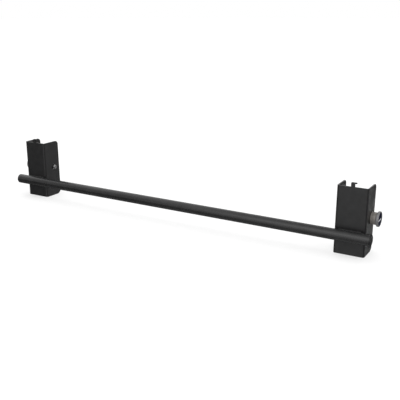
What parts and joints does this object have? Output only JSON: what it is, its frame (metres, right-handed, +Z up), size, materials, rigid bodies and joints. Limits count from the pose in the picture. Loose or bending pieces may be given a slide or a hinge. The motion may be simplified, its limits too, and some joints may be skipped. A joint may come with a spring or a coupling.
{
  "type": "slip-on post crossbar",
  "caption": "Round steel crossbar with U-channel brackets that slide over square posts and lock with pull-out pins, to bar the opening between the posts.",
  "frame": {"origin": "bottom centre of the whole object, midway between the brackets, in the plane of their bottom edges", "axes": "+X along the bar to the right, +Y from the bar into the open channels (away from the viewer of the bar), +Z up"},
  "size_m": [1.31, 0.1038, 0.2103],
  "materials": {
    "powder_coat": "satin black fine-texture powder coat over bent steel plate",
    "bar_coat": "satin black powder coat over round steel tube",
    "cap_plastic": "matt black moulded plastic",
    "liner_plastic": "black sheet plastic, slightly waxy",
    "zinc_steel": "bright zinc-plated steel",
    "knob_aluminium": "satin turned and knurled aluminium with a warm grey tint",
    "cup_steel": "dark blackened steel",
    "magnet_nickel": "bright nickel plate",
    "button_gloss": "glossy blue-black domed plastic"
  },
  "bodies": {
    "crossbar": {"crossbar_tube": "bar_coat", "left_end_cap": "cap_plastic", "right_end_cap": "cap_plastic", "left_bracket": "powder_coat", "right_bracket": "powder_coat", "left_upper_weld": "powder_coat", "left_lower_weld": "powder_coat", "right_upper_weld": "powder_coat", "right_lower_weld": "powder_coat", "left_web_liner": "liner_plastic", "left_outer_liner": "liner_plastic", "left_inner_liner": "liner_plastic", "right_web_liner": "liner_plastic", "right_outer_liner": "liner_plastic", "right_inner_liner": "liner_plastic"},
    "left_pin": {"left_pin_shank": "zinc_steel", "left_pin_magnet_cup": "cup_steel", "left_pin_magnet": "magnet_nickel", "left_pin_knob": "knob_aluminium", "left_pin_button": "button_gloss", "left_pin_screw": "zinc_steel"},
    "right_pin": {"right_pin_shank": "zinc_steel", "right_pin_magnet_cup": "cup_steel", "right_pin_magnet": "magnet_nickel", "right_pin_knob": "knob_aluminium", "right_pin_button": "button_gloss", "right_pin_screw": "zinc_steel"}
  },
  "joints": [
    {"name": "left_pin_pull", "type": "slide", "parent": "crossbar", "child": "left_pin", "axis": [-1, 0, 0], "range_m": [0, 0.105]},
    {"name": "right_pin_pull", "type": "slide", "parent": "crossbar", "child": "right_pin", "axis": [1, 0, 0], "range_m": [0, 0.105]}
  ]
}
